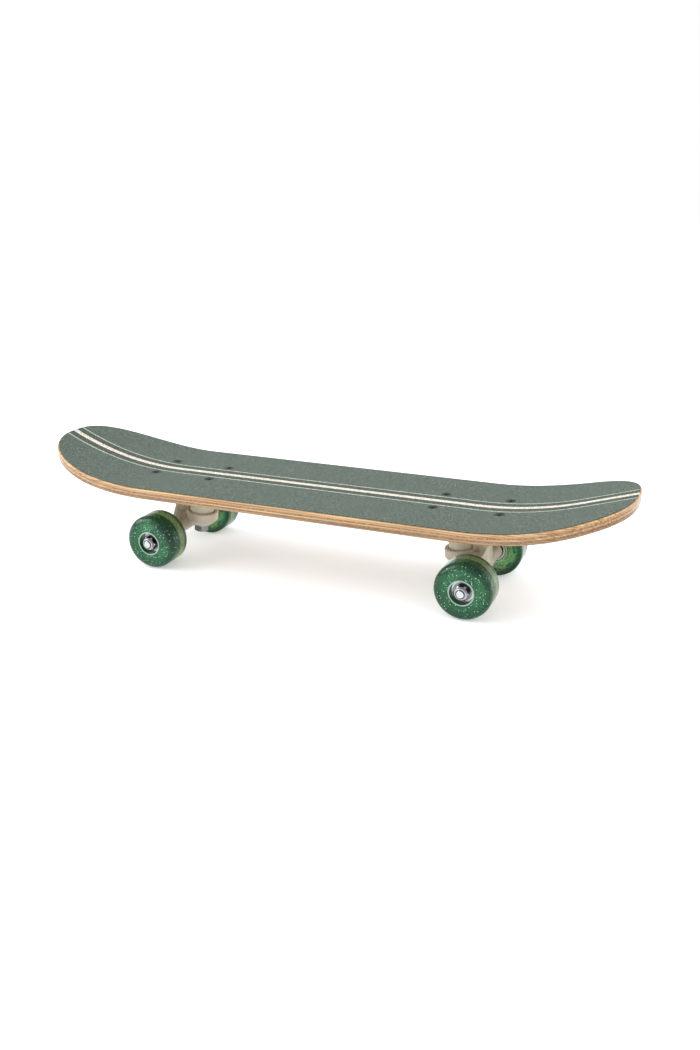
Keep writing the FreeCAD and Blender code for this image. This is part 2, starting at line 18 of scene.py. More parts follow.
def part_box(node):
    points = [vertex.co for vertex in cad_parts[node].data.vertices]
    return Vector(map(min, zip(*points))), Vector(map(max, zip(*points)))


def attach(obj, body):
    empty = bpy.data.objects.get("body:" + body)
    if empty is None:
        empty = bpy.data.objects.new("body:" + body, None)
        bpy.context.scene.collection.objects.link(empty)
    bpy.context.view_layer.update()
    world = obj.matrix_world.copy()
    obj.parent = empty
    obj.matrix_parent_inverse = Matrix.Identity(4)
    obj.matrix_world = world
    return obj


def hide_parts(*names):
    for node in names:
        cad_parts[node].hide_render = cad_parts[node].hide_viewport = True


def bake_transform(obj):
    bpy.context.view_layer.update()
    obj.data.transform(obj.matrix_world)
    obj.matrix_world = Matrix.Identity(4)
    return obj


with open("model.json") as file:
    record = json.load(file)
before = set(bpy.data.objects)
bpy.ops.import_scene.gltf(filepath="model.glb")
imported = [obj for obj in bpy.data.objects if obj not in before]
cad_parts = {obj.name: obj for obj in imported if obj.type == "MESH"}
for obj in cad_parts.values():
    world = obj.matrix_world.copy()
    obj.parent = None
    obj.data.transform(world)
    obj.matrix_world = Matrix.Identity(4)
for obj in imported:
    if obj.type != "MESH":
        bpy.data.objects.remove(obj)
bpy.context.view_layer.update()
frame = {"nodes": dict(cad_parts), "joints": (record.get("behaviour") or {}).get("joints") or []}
mm = 0.001
ends = ("front", "rear")
corners = [(end, hand) for end in ends for hand in ("left", "right")]
print("pieces in the frame:", len(frame["nodes"]))

# %% [markdown]
# ## Shader maths that reads like arithmetic
# A finish is a graph of nodes. Written link by link it is hard to read, so a small class wraps one
# socket and turns +, -, * and / into Math nodes. Everything else goes in through one method, which
# takes the kind of node, its settings, and what its sockets hold.

# %% A wire that can be added and scaled
class Wire:
    """What one socket gives out; sums and products of wires add their own Math nodes."""

    def __init__(self, finish, socket):
        self.finish = finish
        self.socket = socket

    def other(self, output):
        """Another output of the node that this wire comes from."""
        return Wire(self.finish, self.socket.node.outputs[output])

    def maths(self, operation, *values):
        return self.finish.node("ShaderNodeMath", {"operation": operation}, dict(enumerate(values)))

    def __add__(self, other):
        return self.maths("ADD", self, other)

    def __sub__(self, other):
        return self.maths("SUBTRACT", self, other)

    def __rsub__(self, other):
        return self.maths("SUBTRACT", other, self)

    def __mul__(self, other):
        return self.maths("MULTIPLY", self, other)

    def __truediv__(self, other):
        return self.maths("DIVIDE", self, other)

    def __pow__(self, other):
        return self.maths("POWER", self, other)

    def __lt__(self, other):
        return self.maths("LESS_THAN", self, other)

    def __gt__(self, other):
        return self.maths("GREATER_THAN", self, other)

    def __abs__(self):
        return self.maths("ABSOLUTE", self)

    __radd__ = __add__
    __rmul__ = __mul__


# %% A finish, built node by node
def socket_title(word):
    """coat_weight becomes Coat Weight, as the shader calls its socket."""
    return word.replace("_", " ").title().replace("Ior", "IOR")


class Finish:
    """A material under construction."""

    def __init__(self, name, **constants):
        self.material = bpy.data.materials.new(name)
        self.material.use_nodes = True
        self.tree = self.material.node_tree
        self.shader = self.tree.nodes["Principled BSDF"]
        for socket, value in constants.items():
            self.shader.inputs[socket_title(socket)].default_value = value

    def node(self, kind, settings=None, values=None, output=0):
        made = self.tree.nodes.new(kind)
        for key, value in (settings or {}).items():
            if key == "stops":
                self.set_stops(made.color_ramp, value)
            else:
                setattr(made, key, value)
        for key, value in (values or {}).items():
            self.join(made.inputs[key], value)
        return Wire(self, made.outputs[output])

    def set_stops(self, ramp, stops):
        while len(ramp.elements) < len(stops):
            ramp.elements.new(1.0)
        for element, (place, colour) in zip(ramp.elements, stops):
            element.position = place
            element.color = (*colour, 1.0)

    def join(self, socket, value):
        if isinstance(value, Wire):
            self.tree.links.new(value.socket, socket)
        elif hasattr(value, "__len__") and len(value) == 3 and socket.type == "RGBA":
            socket.default_value = (*value, 1.0)
        else:
            socket.default_value = value

    def feed(self, **sockets):
        for socket, value in sockets.items():
            self.join(self.shader.inputs[socket_title(socket)], value)
        return self.material

    def place(self):
        return self.node("ShaderNodeTexCoord", output="Object")

    def axes(self):
        place = self.place()
        split = self.tree.nodes.new("ShaderNodeSeparateXYZ")
        self.tree.links.new(place.socket, split.inputs[0])
        return [Wire(self, output) for output in split.outputs]

    def stretched(self, x, y, z):
        sockets = {"Vector": self.place(), "Scale": (x, y, z)}
        return self.node("ShaderNodeMapping", {"vector_type": "POINT"}, sockets)

    def noise(self, where, scale, detail=2.0, roughness=0.5):
        sockets = {"Vector": where, "Scale": scale, "Detail": detail, "Roughness": roughness}
        return self.node("ShaderNodeTexNoise", values=sockets)

    def ramp(self, factor, *stops):
        return self.node("ShaderNodeValToRGB", {"stops": stops}, {"Fac": factor})

    def mix(self, factor, first, second, how="MIX"):
        settings = {"data_type": "RGBA", "blend_type": how, "clamp_factor": True}
        made = self.tree.nodes.new("ShaderNodeMix")
        for key, value in settings.items():
            setattr(made, key, value)
        self.join(made.inputs[0], factor)
        self.join(made.inputs[6], first)
        self.join(made.inputs[7], second)
        return Wire(self, made.outputs[2])

    def bump(self, height, strength, distance):
        sockets = {"Height": height, "Strength": strength, "Distance": distance}
        return self.node("ShaderNodeBump", values=sockets)

    def smooth(self, value, low, high):
        """0 below low, 1 above high, and a soft rise between."""
        settings = {"interpolation_type": "SMOOTHSTEP", "clamp": True}
        sockets = {"Value": value, "From Min": low, "From Max": high}
        return self.node("ShaderNodeMapRange", settings, sockets)

    def cells(self, spacing):
        """Random round cells: how far a point is from the middle of its cell, in cells."""
        sockets = {"Vector": self.place(), "Scale": 1 / spacing}
        return self.node("ShaderNodeTexVoronoi", values=sockets)


def wear(material, *nodes):
    """Puts a finish on pieces that keep their own shape."""
    for node in nodes:
        for slot in frame["nodes"][node].material_slots:
            slot.material = material
    print(material.name, "on", len(nodes), "pieces")


# %% [markdown]
# ## The deck: seven maple plies
# Seven sheets of hard maple are glued and pressed into the bent shape, then sanded round the rim and
# lacquered. The long plies show pale streaks that run along the board. The crossbands are turned a
# quarter, so the rim cuts their fibres short and they look darker. Stretching a noise pattern along
# the fibres gives both, and one function makes every ply with its own tone. Towards the nose and the
# tail the lower plies get painted shade, darker and browner, where the rim turns from the light.

# %% Maple, pale along the board and dark across it
pale_maple = (0.61, 0.385, 0.18)
deep_maple = (0.27, 0.115, 0.038)
painted_end_shade = (0.80, 0.66, 0.52)
painted_shade_from = 210 * mm
painted_shade_to = 300 * mm
painted_shade_per_ply = 0.14
fibre_length = 1 / 0.09
fibre_width = 1 / 0.0008


def maple(name, tone, across, number):
    """tone is 1 for a pale ply, across turns its fibres, and number counts plies from the top."""
    wood = Finish(name, coat_roughness=0.22, specular_ior_level=0.45)
    along = (fibre_length, fibre_width, fibre_width)
    if across:
        along = (fibre_width, fibre_length, fibre_width)
    streaks = wood.noise(wood.stretched(*along), 0.55 + 0.03 * number, 5.0, 0.62)
    pores = wood.noise(wood.stretched(*(6 * a for a in along)), 0.35, 2.0, 0.5)
    drift = wood.noise(wood.place(), 9.0 + number, 2.0, 0.5)
    pale = tuple(tone * c for c in pale_maple)
    deep = tuple(tone * c for c in deep_maple)
    between = tuple((p + d) / 2 for p, d in zip(pale, deep))
    grain = wood.ramp(streaks, (0.38, deep), (0.49, between), (0.58, pale))
    grain = wood.mix(wood.smooth(pores, 0.56, 0.70) * 0.35, grain, tuple(0.7 * c for c in deep))
    grain = wood.mix(drift * 0.5, grain, (0.86, 0.80, 0.74), "MULTIPLY")
    # Painted shade: towards the nose and the tail the lower plies are darkened and browned, as if the rim
    # there faced away from the light.
    painted_end_shade_mask = wood.smooth(abs(wood.axes()[0]), painted_shade_from, painted_shade_to)
    grain = wood.mix(painted_end_shade_mask * (painted_shade_per_ply * (number - 1)), grain, painted_end_shade, "MULTIPLY")
    relief = wood.bump(streaks + pores * 0.5, 0.22, 0.00012)
    gloss = 0.34 + streaks * 0.22
    return wood.feed(base_color=grain, roughness=gloss, coat_weight=0.30 + drift * 0.2, normal=relief)


# %% Lay up the plies
ply_tones = (1.12, 0.86, 0.60, 1.04, 0.50, 0.62, 0.66)
crossbands = (3, 5)
for number, tone in enumerate(ply_tones, start=1):
    wear(maple(f"maple_ply_{number}", tone, number in crossbands, number), f"ply_{number}")

# %% [markdown]
# ## The grip sheet
# A sheet of coarse grit is stuck on the deck and printed with stripes along the middle: a wide cream
# one, a darker band each side of it, and a thin pale line outside each band. Every stripe runs the
# board's whole length, so its edges depend only on how far a point is from the middle line. The grit
# is a fine noise that lifts the surface, with painted shade in its hollows and a painted highlight on
# its tips, and a brighter grain here and there.

# %% Grit and stripes
sage = (0.084, 0.110, 0.089)
dark_band = (0.066, 0.077, 0.060)
cream = (0.60, 0.57, 0.50)
mint = (0.37, 0.43, 0.37)
cream_half_width = 3.0 * mm
line_middle = 12.3 * mm
line_half_width = 0.85 * mm
edge_blur = 0.25 * mm
grit_size = 0.5 * mm
grain_spacing = 1.7 * mm


def grip():
    sheet = Finish("grit_sheet", specular_ior_level=0.35)
    side = abs(sheet.axes()[1])
    grit = sheet.noise(sheet.place(), 1 / grit_size, 3.0, 0.7)
    clumps = sheet.noise(sheet.place(), 1 / (2.2 * grit_size), 2.0, 0.5)
    clouds = sheet.noise(sheet.place(), 14.0, 3.0, 0.5)

    def within(distance, limit):
        return 1 - sheet.smooth(distance, limit - edge_blur, limit + edge_blur)

    colour = sheet.mix(within(side, line_middle), sage, dark_band)
    colour = sheet.mix(within(abs(side - line_middle), line_half_width), colour, mint)
    colour = sheet.mix(within(side, cream_half_width), colour, cream)
    # Painted shade in the grit's hollows and a painted highlight on its tips, multiplied into the colour.
    painted_grit_light_and_shade = sheet.ramp(grit * 0.4 + clumps * 0.6, (0.38, (0.45, 0.45, 0.46)), (0.50, (0.93, 0.93, 0.93)),
                       (0.62, (1.80, 1.80, 1.82)))
    colour = sheet.mix(1.0, colour, painted_grit_light_and_shade, "MULTIPLY")
    grain = sheet.cells(grain_spacing)
    bright = (grain < 0.2) * (grain.other("Color") > 0.5)
    colour = sheet.mix(bright * 0.4, colour, (0.50, 0.56, 0.50))
    colour = sheet.mix(clouds * 0.25, colour, (0.86, 0.88, 0.87), "MULTIPLY")
    relief = sheet.bump(grit, 0.55, 0.00025)
    return sheet.feed(base_color=colour, roughness=0.78 + grit * 0.2, normal=relief)


wear(grip(), "grip_sheet")

# %% [markdown]
# ## Steel: black and zinc
# The deck bolts are blackened. The kingpins, their nuts and the washers are zinc plated. Both are one
# recipe: a metal whose colour and gloss wander a little, because a perfectly even metal looks like
# paint.

# %% Black and zinc-plated steel
def steel(name, colour, roughness, uneven, metallic=1.0):
    metal = Finish(name, metallic=metallic)
    smears = metal.noise(metal.place(), 260.0, 3.0, 0.6)
    scratches = metal.noise(metal.stretched(300.0, 2600.0, 2600.0), 1.0, 2.0, 0.5)
    tint = metal.mix(smears * uneven, colour, tuple(0.55 * c for c in colour))
    gloss = roughness + smears * (0.12 * uneven) + scratches * 0.05
    return metal.feed(base_color=tint, roughness=gloss, normal=metal.bump(scratches, 0.05, 0.00004))


black_steel = steel("black_oxide_steel", (0.009, 0.0095, 0.010), 0.42, 0.5, 0.35)
zinc_steel = steel("zinc_plated_steel", (0.46, 0.475, 0.49), 0.22, 1.1)
wear(black_steel, *(f"{end}_truck_bolts" for end in ends))
for part in ("lock_nuts", "kingpin", "kingpin_nut", "board_side_washer", "road_side_washer"):
    wear(zinc_steel, *(f"{end}_{part}" for end in ends))

# %% [markdown]
# ## Steel round the axles
# Bearings, axles and axle nuts are turned and polished, and grease gathers in the seams between
# them. The seams are circles about the axle, so a dark ring is drawn wherever a point is at one of a
# few known distances from the axle's line.

# %% How far a point is from the axle's line
wheel_low, wheel_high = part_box("front_left_wheel")
axle_x = (wheel_low.x + wheel_high.x) / 2
axle_z = (wheel_low.z + wheel_high.z) / 2
grease = (0.012, 0.013, 0.013)


def axle_distance(finish):
    """The same for all four wheels, because the trucks mirror each other."""
    x, _, z = finish.axes()
    across = abs(x) - abs(axle_x)
    up = z - axle_z
    return (across * across + up * up) ** 0.5


# %% Polished steel with greasy seams
def turned_steel(name, colour, roughness, *seams):
    """Each seam is (radius, half width) in mm."""
    metal = Finish(name, metallic=1.0)
    away = axle_distance(metal)
    smears = metal.noise(metal.place(), 320.0, 3.0, 0.6)
    tint = metal.mix(smears * 0.5, colour, tuple(0.6 * c for c in colour))
    for radius, half_width in seams:
        clean = metal.smooth(abs(away - radius * mm), 0.4 * half_width * mm, half_width * mm)
        tint = metal.mix((1 - clean) * 0.92, tint, grease)
    return metal.feed(base_color=tint, roughness=roughness + smears * 0.10)


ring_seams = ((4.3, 0.45), (6.4, 0.35), (10.9, 0.5))
bright_steel = turned_steel("polished_steel", (0.50, 0.50, 0.51), 0.08, *ring_seams)
shield_steel = turned_steel("shield_steel", (0.20, 0.20, 0.21), 0.14, (6.2, 0.9), (9.4, 0.7))
axle_steel = turned_steel("axle_steel", (0.60, 0.61, 0.62), 0.18, (3.7, 0.35))
for part in ("axle", "axle_washers"):
    wear(axle_steel, *(f"{end}_{part}" for end in ends))
for part in ("axle_nuts", "bearing_inner_rings"):
    wear(bright_steel, *(f"{end}_{part}" for end in ends))
for part in ("bearing_outer_rings", "bearing_balls"):
    wear(bright_steel, *(f"{end}_{hand}_{part}" for end, hand in corners))
wear(shield_steel, *(f"{end}_{hand}_bearing_shields" for end, hand in corners))

# %% [markdown]
# ## Moulded plastic inside
# The pivot cups and the ball cages are moulded plastic, nearly hidden, with a soft even sheen and a
# faint texture from the mould.

# %% Cups and cages
def moulded(name, colour, roughness):
    plastic = Finish(name, specular_ior_level=0.5)
    texture = plastic.noise(plastic.place(), 900.0, 2.0, 0.5)
    tint = plastic.mix(texture * 0.3, colour, tuple(1.3 * c for c in colour))
    relief = plastic.bump(texture, 0.1, 0.00005)
    return plastic.feed(base_color=tint, roughness=roughness + texture * 0.1, normal=relief)


cup_plastic = moulded("cup_plastic", (0.035, 0.036, 0.038), 0.45)
cage_plastic = moulded("cage_plastic", (0.13, 0.075, 0.035), 0.40)
wear(cup_plastic, *(f"{end}_pivot_cup" for end in ends))
wear(cage_plastic, *(f"{end}_{hand}_ball_cages" for end, hand in corners))

# %% [markdown]
# ## The castings
# Hangers and baseplates are cast metal, so no edge on them is sharp: walls run into each other with
# hollow fillets and every rim is rounded. Beveling the drawn solid would need every edge picked by
# hand. Instead its skin is rebuilt from small cubes and relaxed a few times, which rounds the
# outside edges and fills the inside corners at once, as the wax pattern of a casting does.

# %% Soften a drawn solid into a casting
merge_distance = 0.002 * mm
cast_grain = 0.55 * mm
cast_passes = 9


def new_piece(name, bm, material, sharp=40):
    """Makes an object from a bmesh, smooth except over edges sharper than the given angle."""
    mesh = bpy.data.meshes.new(name)
    bm.to_mesh(mesh)
    bm.free()
    mesh.shade_smooth()
    mesh.set_sharp_from_angle(angle=math.radians(sharp))
    mesh.materials.append(material)
    piece = bpy.data.objects.new(name, mesh)
    bpy.context.scene.collection.objects.link(piece)
    return piece


def casting(name, node, body, material):
    solid = bmesh.new()
    solid.from_mesh(frame["nodes"][node].data)
    bmesh.ops.remove_doubles(solid, verts=solid.verts, dist=merge_distance)
    piece = new_piece(name, solid, material)
    recast = piece.modifiers.new("recast", "REMESH")
    recast.mode = "VOXEL"
    recast.voxel_size = cast_grain
    relax = piece.modifiers.new("relax", "SMOOTH")
    relax.factor = 0.5
    relax.iterations = cast_passes
    ready = bpy.data.meshes.new_from_object(piece.evaluated_get(bpy.context.evaluated_depsgraph_get()))
    piece.modifiers.clear()
    piece.data = ready
    ready.shade_smooth()
    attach(piece, body)
    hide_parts(node)
    print(name, len(ready.polygons), "faces")


# %% [markdown]
# ## Paint for the castings
# The trucks are sprayed in a satin sand colour. Sprayed paint has a fine orange peel, is a little
# glossier where it pooled, and gathers grey dust in its hollows. The peel is a bump and the dust a
# slow change of colour.

# %% Sand-coloured satin paint
def sand_paint():
    paint = Finish("sand_satin_paint", coat_roughness=0.28, specular_ior_level=0.5)
    peel = paint.noise(paint.place(), 1100.0, 2.0, 0.5)
    cast = paint.noise(paint.place(), 230.0, 3.0, 0.6)
    dust = paint.noise(paint.place(), 45.0, 3.0, 0.6)
    tint = paint.ramp(dust, (0.35, (0.47, 0.41, 0.315)), (0.65, (0.56, 0.495, 0.385)))
    tint = paint.mix(paint.smooth(cast, 0.45, 0.75) * 0.35, tint, (0.40, 0.345, 0.26))
    relief = paint.bump(peel * 0.35 + cast, 0.16, 0.00018)
    gloss = 0.36 + cast * 0.16
    return paint.feed(base_color=tint, roughness=gloss, coat_weight=0.15 + dust * 0.2, normal=relief)


paint = sand_paint()
for end in ends:
    casting(f"{end}_cast_hanger", f"{end}_hanger", f"{end}_hanger_set", paint)
    casting(f"{end}_cast_baseplate", f"{end}_baseplate", "board", paint)

# %% [markdown]
# ## The cushions
# Each kingpin squeezes two cushions of soft urethane, one on each side of the hanger's ring. When the truck
# steers, the end that touches the ring tilts with it while the other end stays with the board, so
# the cushion bends. It is spun from half of its section.

# %% Spin a section about a line
rounding_step = 0.35 * mm
seam_distance = 0.001 * mm


def spun(outline, centre, axis, outward, steps):
    """outline holds (radius, height, rounding) corners, joined in a ring and spun about the axis."""
    bm = bmesh.new()
    corners_made = []
    for radius, height, rounding in outline:
        place = centre + outward * radius + axis * height
        corners_made.append((bm.verts.new(place), rounding))
    ring = [vert for vert, _ in corners_made]
    for first, second in zip(ring, ring[1:] + ring[:1]):
        bm.edges.new((first, second))
    for vert, rounding in corners_made:
        if rounding:
            segments = max(3, round(rounding / rounding_step))
            bmesh.ops.bevel(bm, geom=[vert], offset=rounding, offset_type="OFFSET", affect="VERTICES",
                            segments=segments, profile=0.5, material=-1)
    bmesh.ops.spin(bm, geom=bm.verts[:] + bm.edges[:], cent=centre, axis=axis, angle=math.tau,
                   steps=steps, use_merge=True)
    bmesh.ops.remove_doubles(bm, verts=bm.verts, dist=seam_distance)
    bmesh.ops.recalc_face_normals(bm, faces=bm.faces)
    return bm


# %% Where each kingpin stands
kingpin_lean = math.radians(7)
ring_setback = 28 * mm
cushion_radius = 13 * mm
small_cushion_radius = 10.2 * mm
kingpin_clearance = 4.9 * mm
ring_face = 3 * mm
cushion_top = 19 * mm
small_cushion_end = 9.1 * mm
rim_round = 1.3 * mm
waist_depth = 0.5 * mm
waist_round = 3 * mm
cushion_steps = 72


def kingpin_line(end):
    """The middle of the hanger's ring, the way up the kingpin, and a direction square to it."""
    steer = next(joint for joint in frame["joints"] if joint["name"] == f"{end}_steer")
    pivot = Vector(steer["pos_m"])
    slope = Vector(steer["axis"])
    ahead = 1 if pivot.x > 0 else -1
    middle = pivot - slope * (ring_setback / (slope.x * ahead))
    upward = Vector((-ahead * math.sin(kingpin_lean), 0, math.cos(kingpin_lean)))
    return middle, upward, Vector((0, 1, 0))


# %% Cushion material and pieces
def cushion_urethane():
    cream = Finish("cream_urethane", subsurface_weight=0.15, subsurface_scale=0.002)
    haze = cream.noise(cream.place(), 120.0, 3.0, 0.6)
    tint = cream.mix(haze, (0.66, 0.60, 0.475), (0.56, 0.50, 0.385))
    relief = cream.bump(haze, 0.1, 0.0001)
    return cream.feed(base_color=tint, roughness=0.38 + haze * 0.15, normal=relief)


cushion_finish = cushion_urethane()
cushion_sizes = (("board_side", cushion_radius, ring_face, cushion_top),
                 ("road_side", small_cushion_radius, -ring_face, -small_cushion_end))
for end in ends:
    middle, upward, outward = kingpin_line(end)
    for name, radius, near, far in cushion_sizes:
        low, high = sorted((near, far))
        outline = ((kingpin_clearance, low, 0), (radius, low, rim_round),
                   (radius - waist_depth, (low + high) / 2, waist_round),
                   (radius, high, rim_round), (kingpin_clearance, high, 0))
        skin = spun(outline, middle, upward, outward, cushion_steps)
        cushion = new_piece(f"{end}_{name}_cushion", skin, cushion_finish)
        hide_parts(f"{end}_{name}_bushing")
        tuple(middle + upward * near)
        tuple(middle + upward * far)
        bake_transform(cushion)
        print(cushion.name, len(cushion.data.polygons), "faces")

# %% [markdown]
# ## The wheels
# Each wheel is cast from clear green urethane with glitter stirred in, then turned on a lathe. The
# outer face has a wide round shoulder and a small one faces the truck. Round each bearing stands a
# low lip, whose pale colour is a painted reflection of the steel bearing seen through the urethane.
# Light goes into the urethane, picks up green on its way and comes out again, so the wheel needs
# true refraction, and its wall has to be one closed skin.

# %% The wheel's section
wheel_steps = 128
seat_gap = 0.03 * mm
lip_width = 1.3 * mm
lip_height = 0.6 * mm
groove_inner = 18.6 * mm
groove_outer = 21.2 * mm
groove_depth = 0.7 * mm
groove_count = 7
groove_share = 0.42
hair = 0.1 * mm
core_radius = 8.6 * mm
bearing_width = 7 * mm
corner_round = 0.4 * mm
lip_drop = 0.4 * mm
lip_foot = 0.6 * mm
outer_shoulder = 7.5 * mm
inner_shoulder = 3.5 * mm


def wheel_sizes(end, hand):
    """Measured on the frame; faces and seats are distances from the board's middle line."""
    low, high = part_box(f"{end}_{hand}_wheel")
    seat_low, seat_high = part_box(f"{end}_{hand}_bearing_outer_rings")
    side = 1 if low.y > 0 else -1
    faces = sorted(abs(value) for value in (low.y, high.y))
    seats = sorted(abs(value) for value in (seat_low.y, seat_high.y))
    centre = Vector(((low.x + high.x) / 2, 0, (low.z + high.z) / 2))
    return centre, side, (high.z - low.z) / 2, (seat_high.z - seat_low.z) / 2 + seat_gap, faces, seats


def wheel_outline(radius, seat, faces, seats):
    """The closed section of a wheel, from the core, round the inner face, tread and outer face."""
    inner, outer = faces
    lip = seat + lip_width
    dish = inner + lip_height
    brim = outer - lip_drop
    return ((core_radius, seats[0] + bearing_width, 0.3 * mm), (seat, seats[0] + bearing_width, 0),
            (seat, inner, corner_round), (lip, inner, 0.5 * mm),
            (lip + 0.7 * mm, dish, corner_round), (groove_inner, dish, 0), (groove_outer, dish, 0),
            (radius - inner_shoulder, inner, 1.0 * mm),
            (radius, inner, inner_shoulder), (radius, outer, outer_shoulder),
            (lip + lip_foot, brim, corner_round), (lip, brim, 0.2 * mm),
            (lip - 0.2 * mm, outer, 0.3 * mm), (seat, outer, 0.3 * mm),
            (seat, seats[1] - bearing_width, 0), (core_radius, seats[1] - bearing_width, 0.3 * mm))


def from_axle(place, centre):
    """How far a point is from the axle's line."""
    return math.hypot(place.x - centre.x, place.z - centre.z)


def press_grooves(bm, centre, side, dish):
    """Sinks a ring of short grooves in the face towards the truck, which stands at dish."""
    chosen = []
    for face in bm.faces:
        place = face.calc_center_median()
        turn = math.atan2(place.z - centre.z, place.x - centre.x) / math.tau * groove_count % 1
        on_ring = groove_inner < from_axle(place, centre) < groove_outer
        if on_ring and turn < groove_share and abs(abs(place.y) - dish) < hair:
            chosen.append(face)
    pressed = bmesh.ops.extrude_face_region(bm, geom=chosen)
    floor_verts = [item for item in pressed["geom"] if isinstance(item, bmesh.types.BMVert)]
    bmesh.ops.translate(bm, verts=floor_verts, vec=(0, side * groove_depth, 0))
    bmesh.ops.delete(bm, geom=chosen, context="FACES")


# %% [markdown]
# The urethane's colour changes with the distance from the axle and across the width: a deep green
# face with painted shade in a dark ring by the bearing and a nearly black rim, painted light in a
# light band and a paler strip on the tread where the core would show through, and a light inner face
# with painted shade towards its rim. More than half of the light goes through and the rest comes
# back from the cloudy green. Near the skin the glitter is a pattern of small cells, a few of which
# turn to metal.

# %% Clear green urethane
flake_cell = 1.6 * mm
flake_share = 0.24
flash_chance = 0.735


def green_urethane(radius, faces):
    clear = Finish("green_urethane", ior=1.45, transmission_weight=0.62, specular_ior_level=0.22)
    share = axle_distance(clear) / radius
    depth = (abs(clear.axes()[1]) - faces[0]) / (faces[1] - faces[0])
    swirl = clear.noise(clear.place(), 130.0, 4.0, 0.65)
    specks = clear.noise(clear.place(), 900.0, 3.0, 0.65)
    drifting = swirl - 0.5
    # Painted shade on the deep green face: a dark ring by the bearing and a nearly black rim.
    face_green_and_painted_shade = clear.ramp(share + drifting * 0.14,
                           (0.44, (0.006, 0.065, 0.030)), (0.54, (0.026, 0.215, 0.080)),
                           (0.74, (0.017, 0.170, 0.062)), (0.86, (0.008, 0.080, 0.038)),
                           (0.95, (0.003, 0.030, 0.016)))
    # Painted light on the tread: a light band and a paler strip where the core would show through, between
    # darker bands.
    tread_green_and_painted_light = clear.ramp(depth + drifting * 0.04,
                            (0.04, (0.020, 0.12, 0.045)), (0.12, (0.10, 0.24, 0.08)),
                            (0.18, (0.010, 0.075, 0.026)), (0.22, (0.50, 0.66, 0.28)),
                            (0.46, (0.42, 0.60, 0.22)), (0.50, (0.018, 0.13, 0.048)),
                            (0.80, (0.020, 0.15, 0.062)))
    # The inner face is light, with painted shade darkening it towards the rim.
    inner_face_and_painted_rim_shade = clear.ramp(share + drifting * 0.06,
                            (0.52, (0.56, 0.76, 0.34)), (0.72, (0.46, 0.70, 0.27)),
                            (0.82, (0.04, 0.18, 0.06)), (0.90, (0.008, 0.06, 0.026)))
    tint = clear.mix(clear.smooth(share, 0.94, 0.985), face_green_and_painted_shade, tread_green_and_painted_light)
    tint = clear.mix(1 - clear.smooth(depth, 0.0, 0.05), tint, inner_face_and_painted_rim_shade)
    tint = clear.mix(clear.smooth(specks, 0.50, 0.62) * 0.75, tint, (0.003, 0.030, 0.014))
    tint = clear.mix(clear.smooth(1 - specks, 0.54, 0.66) * 0.45, tint, (0.06, 0.34, 0.17))
    cell = clear.cells(flake_cell)
    in_flake = (cell < flake_share) * clear.smooth(depth, 0.46, 0.60)
    flash = in_flake * (cell.other("Color") > flash_chance)
    tint = clear.mix(in_flake * 0.3, tint, (0.12, 0.48, 0.28))
    tint = clear.mix(flash, tint, (0.52, 0.84, 0.66))
    lathe = clear.noise(clear.stretched(1.0, 1500.0, 1.0), 1.0, 2.0, 0.5)
    relief = clear.bump(lathe + swirl * 0.4, 0.05, 0.00006)
    body_sockets = {"Color": (0.35, 0.70, 0.50), "Density": 24.0}
    body = clear.node("ShaderNodeVolumeAbsorption", values=body_sockets)
    output = next(node for node in clear.tree.nodes if node.type == "OUTPUT_MATERIAL")
    clear.join(output.inputs["Volume"], body)
    gloss = 0.10 + swirl * 0.10
    return clear.feed(base_color=tint, roughness=gloss, metallic=flash * 0.6, normal=relief)


# The lip's pale colour is a painted reflection of the steel bearing seen through the clear urethane.
def painted_reflection_lip():
    lip = Finish("lip_painted_bearing_reflection", coat_weight=0.3, coat_roughness=0.2, specular_ior_level=0.4)
    haze = lip.noise(lip.place(), 400.0, 2.0, 0.5)
    tint = lip.mix(haze, (0.22, 0.32, 0.26), (0.32, 0.43, 0.36))
    return lip.feed(base_color=tint, roughness=0.3 + haze * 0.1)


_, _, radius, _, faces, _ = wheel_sizes("front", "left")
urethane = green_urethane(radius, faces)
painted_reflection_lip_finish = painted_reflection_lip()

# %% [markdown]
# Deeper down the glitter is real: a few hundred thin six-sided flakes hang in the urethane of each
# wheel, turned every way. Seen through the curved skin they flash and blur as glitter does, which a
# pattern on the skin can't do. Each flake is a capped circle given a little thickness.

# %% Wheels and their glitter
flake_count = 260
flake_radius = 0.34 * mm
flake_thickness = 0.03 * mm
flake_margin = 1.6 * mm
shoulder_slope = 0.45
chance = random.Random(7)


def glitter(name, centre, side, radius, seat, faces, material):
    bm = bmesh.new()
    middle = (faces[0] + faces[1]) / 2
    for _ in range(flake_count):
        y = chance.uniform(faces[0] + flake_margin, faces[1] - flake_margin)
        room = radius - flake_margin - max(0.0, y - middle) * shoulder_slope
        away = math.sqrt(chance.uniform((seat + flake_margin) ** 2, room ** 2))
        around = chance.uniform(0, math.tau)
        x = centre.x + away * math.cos(around)
        z = centre.z + away * math.sin(around)
        place = Matrix.Translation((x, side * y, z))
        tilt = Matrix.Rotation(chance.uniform(0, math.pi), 4, "X")
        tilt = tilt @ Matrix.Rotation(chance.uniform(0, math.pi), 4, "Y")
        size = flake_radius * chance.uniform(0.5, 1.2)
        bmesh.ops.create_cone(bm, cap_ends=True, segments=6, radius1=size, radius2=size,
                              depth=flake_thickness, matrix=place @ tilt)
    return new_piece(name, bm, material)


def glitter_foil():
    foil = Finish("glitter_foil", metallic=0.85)
    sheen = foil.noise(foil.place(), 700.0, 1.0, 0.5)
    tint = foil.mix(sheen, (0.55, 0.85, 0.62), (0.92, 0.98, 0.90))
    return foil.feed(base_color=tint, roughness=0.22 + sheen * 0.1)


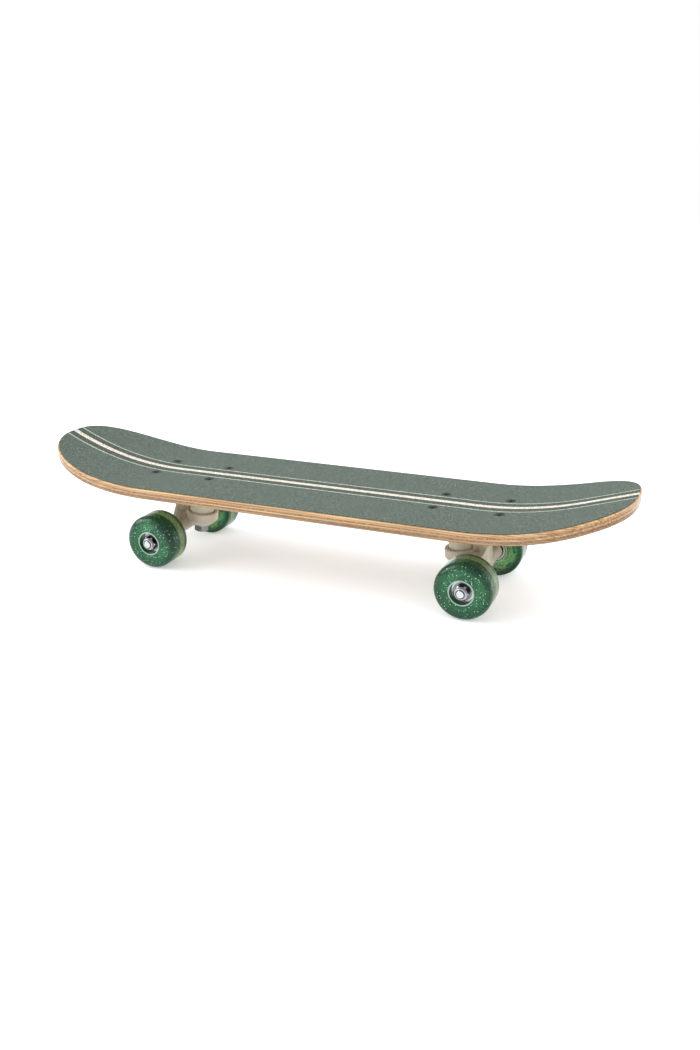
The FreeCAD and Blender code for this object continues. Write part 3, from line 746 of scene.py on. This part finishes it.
foil = glitter_foil()
for end, hand in corners:
    centre, side, radius, seat, faces, seats = wheel_sizes(end, hand)
    outline = wheel_outline(radius, seat, faces, seats)
    section = spun(outline, centre, Vector((0, side, 0)), Vector((0, 0, 1)), wheel_steps)
    press_grooves(section, centre, side, faces[0] + lip_height)
    for face in section.faces:
        place = face.calc_center_median()
        on_lip = from_axle(place, centre) < seat + lip_width + hair
        face.material_index = int(on_lip and abs(place.y) > seats[1] + hair)
    wheel = new_piece(f"{end}_{hand}_cast_wheel", section, urethane, sharp=50)
    wheel.data.materials.append(painted_reflection_lip_finish)
    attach(wheel, f"{end}_{hand}_wheel_set")
    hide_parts(f"{end}_{hand}_wheel")
    flakes = glitter(f"{end}_{hand}_glitter", centre, side, radius, seat, faces, foil)
    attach(flakes, f"{end}_{hand}_wheel_set")
    print(wheel.name, len(wheel.data.polygons), "faces and", flake_count, "flakes")

# %% [markdown]
# ## The studio
# The board stands on a white floor that glows faintly. A large soft light stands to its left and a
# weaker one to its right, with even light from all round. The colours are shown as they are, with no
# film curve, so that the white floor stays white.

# %% Floor
floor_size = 14.0
floor_glow = 0.36
white = (1.0, 1.0, 1.0, 1.0)


def pale_floor():
    surface = Finish("pale_floor", specular_ior_level=0.2,
                     emission_color=white, emission_strength=floor_glow)
    tooth = surface.noise(surface.place(), 400.0, 2.0, 0.5)
    tint = surface.mix(tooth, (0.83, 0.86, 0.89), (0.85, 0.88, 0.91))
    return surface.feed(base_color=tint, roughness=0.7 + tooth * 0.1)


sweep = bmesh.new()
bmesh.ops.create_grid(sweep, x_segments=2, y_segments=2, size=floor_size / 2)
floor = new_piece("floor", sweep, pale_floor())

# %% Light
scene = bpy.context.scene
scene.view_settings.view_transform = "Standard"
world = bpy.data.worlds.new("studio")
world.use_nodes = True
world.node_tree.nodes["Background"].inputs["Color"].default_value = white
world.node_tree.nodes["Background"].inputs["Strength"].default_value = 1.0
scene.world = world


def softbox(name, place, aim, size, power):
    lamp = bpy.data.lights.new(name, "AREA")
    lamp.shape = "DISK"
    lamp.size = size
    lamp.energy = power
    holder = bpy.data.objects.new(name, lamp)
    holder.location = place
    facing = Vector(aim) - Vector(place)
    holder.rotation_euler = facing.to_track_quat("-Z", "Y").to_euler()
    holder.visible_camera = False
    scene.collection.objects.link(holder)


softbox("key", (-1.6, -0.7, 1.2), (0, 0, 0.05), 1.9, 31)
softbox("fill", (1.1, 0.4, 1.2), (0.2, 0, 0.05), 1.2, 12)

# %% [markdown]
# ## The camera
# It stands in front of the board to the right, a little above it, and looks down at its middle.

# %% Camera
heading = math.radians(23.46)
look_down = math.radians(20.13)
roll = math.radians(-0.62)
lens = bpy.data.cameras.new("camera")
lens.lens = 33.0
lens.sensor_width = 36.0
camera = bpy.data.objects.new("camera", lens)
turn = Matrix.Rotation(heading, 4, "Z") @ Matrix.Rotation(math.pi / 2 - look_down, 4, "X")
stand = Matrix.Translation((0.3847, -0.8234, 0.3786))
camera.matrix_world = stand @ turn @ Matrix.Rotation(roll, 4, "Z")
scene.collection.objects.link(camera)
scene.camera = camera
